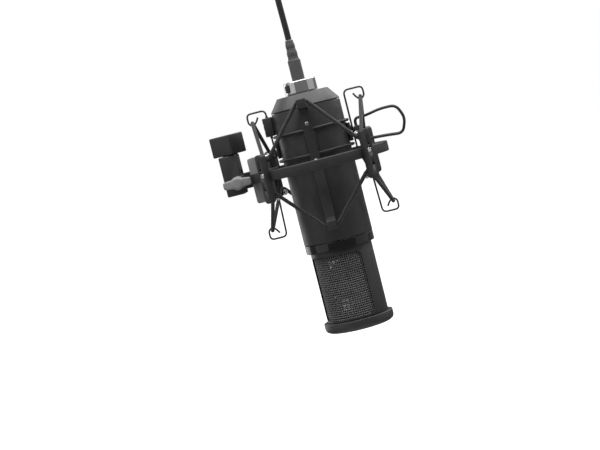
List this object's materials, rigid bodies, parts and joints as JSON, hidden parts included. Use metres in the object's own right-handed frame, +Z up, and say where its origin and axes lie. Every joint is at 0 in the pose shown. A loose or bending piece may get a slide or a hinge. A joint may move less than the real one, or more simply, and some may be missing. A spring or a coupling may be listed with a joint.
{
  "type": "condenser microphone in shock mount",
  "caption": "Side-address condenser microphone hung tail-up in an elastic shock mount with a tilting, turning stand socket, squeeze handles and a plugged-in lead.",
  "frame": {"origin": "centre of the stand socket's seating face, where the boom arm's stud enters", "axes": "+Z up along the microphone's axis, towards its connector; +X from the swivel to the microphone; -Y is the front, which the boom arm's user sees"},
  "size_m": [0.1285, 0.0928, 0.2578],
  "materials": {
    "black_plastic": "fine moulded texture",
    "black_paint": "satin black powder coat",
    "gloss_band": "polished black",
    "grille_steel": "blackened woven wire",
    "spring_wire": "black dipped spring wire",
    "chrome": "bright chrome",
    "elastic": "braided elastic cord",
    "rubber": "matte rubber",
    "brass": "turned brass",
    "gold_film": "gold-sputtered film",
    "circuit_board": "solder mask",
    "zinc_steel": "zinc plate",
    "pvc_wire": "PVC insulation"
  },
  "bodies": {
    "socket": {"stand_socket": "black_plastic"},
    "yoke": {"swivel_yoke": "black_plastic", "pivot_bolt": "zinc_steel"},
    "knob": {"wing_knob": "black_plastic"},
    "ring": {"outer_ring": "black_plastic", "peg_upper_front_right": "chrome", "peg_upper_back_right": "chrome", "peg_upper_back_left": "chrome", "peg_upper_front_left": "chrome", "peg_lower_front_right": "chrome", "peg_lower_back_right": "chrome", "peg_lower_back_left": "chrome", "peg_lower_front_left": "chrome", "elastic_upper": "elastic", "elastic_lower": "elastic"},
    "cradle": {"hoop_upper": "spring_wire", "hoop_lower": "spring_wire", "cradle_strip_front": "black_paint", "cradle_strip_back": "black_paint", "cradle_hook_left": "spring_wire", "cradle_hook_right": "spring_wire", "cradle_hinge_block": "black_plastic", "grip_pad_front": "rubber", "grip_pad_right": "rubber", "grip_pad_back": "rubber", "grip_pad_left": "rubber", "handle_bracket": "black_plastic", "body_tube": "black_paint", "body_collar": "gloss_band", "tail_cone": "black_paint", "grille_frame": "black_paint", "grille_mesh": "grille_steel", "grille_end_cap": "black_paint", "xlr_insert": "black_plastic", "xlr_pin_1": "brass", "xlr_pin_2": "brass", "xlr_pin_3": "brass", "plug_shell": "chrome", "plug_insert": "black_plastic", "plug_boot": "rubber", "lead_cord": "rubber", "cable_clip": "black_plastic", "chassis_rail_left": "zinc_steel", "chassis_rail_right": "zinc_steel", "circuit_board": "circuit_board", "capacitor_large": "black_plastic", "capacitor_small": "black_plastic", "output_transformer": "zinc_steel", "capsule_bulkhead": "zinc_steel", "capsule_saddle": "black_plastic", "capsule_housing": "brass", "capsule_diaphragm": "gold_film", "capsule_clamp_ring": "brass", "capsule_wire_left": "pvc_wire", "capsule_wire_right": "pvc_wire"},
    "handle_front": {"handle_front": "spring_wire"},
    "handle_back": {"handle_back": "spring_wire"},
    "latch": {"plug_latch": "black_plastic"}
  },
  "joints": [
    {"name": "stand_turn", "type": "hinge", "parent": "socket", "child": "yoke", "pos_m": [0, 0, -0.0132], "axis": [0, 0, 1], "continuous": true},
    {"name": "mount_tilt", "type": "hinge", "parent": "yoke", "child": "ring", "pos_m": [0.002, 0, -0.0322], "axis": [0, 1, 0], "range_deg": [-10, 45]},
    {"name": "knob_turn", "type": "hinge", "parent": "yoke", "child": "knob", "pos_m": [0.002, -0.015, -0.0322], "axis": [0, 1, 0], "range_deg": [-180, 180]},
    {"name": "cradle_float", "type": "slide", "parent": "ring", "child": "cradle", "axis": [0, 0, 1], "range_m": [-0.0015, 0.003], "stiffness_N_per_m": 1500, "springref_m": 0.0037, "deforming": ["elastic_upper", "elastic_lower"]},
    {"name": "squeeze_front", "type": "hinge", "parent": "cradle", "child": "handle_front", "pos_m": [0.0852, -0.0027, -0.0177], "axis": [0, 0, 1], "range_deg": [0, 4], "stiffness_Nm_per_rad": 0.5, "springref_deg": -2.86},
    {"name": "squeeze_back", "type": "hinge", "parent": "cradle", "child": "handle_back", "pos_m": [0.0852, 0.0027, -0.0177], "axis": [0, 0, 1], "range_deg": [-4, 0]},
    {"name": "latch_press", "type": "slide", "parent": "cradle", "child": "latch", "axis": [0.766, 0.6428, 0], "range_m": [0, 0.0006], "stiffness_N_per_m": 300, "springref_m": -0.0005}
  ],
  "couplings": [
    {"joint": "squeeze_back", "follows": "squeeze_front", "ratio": -1}
  ]
}
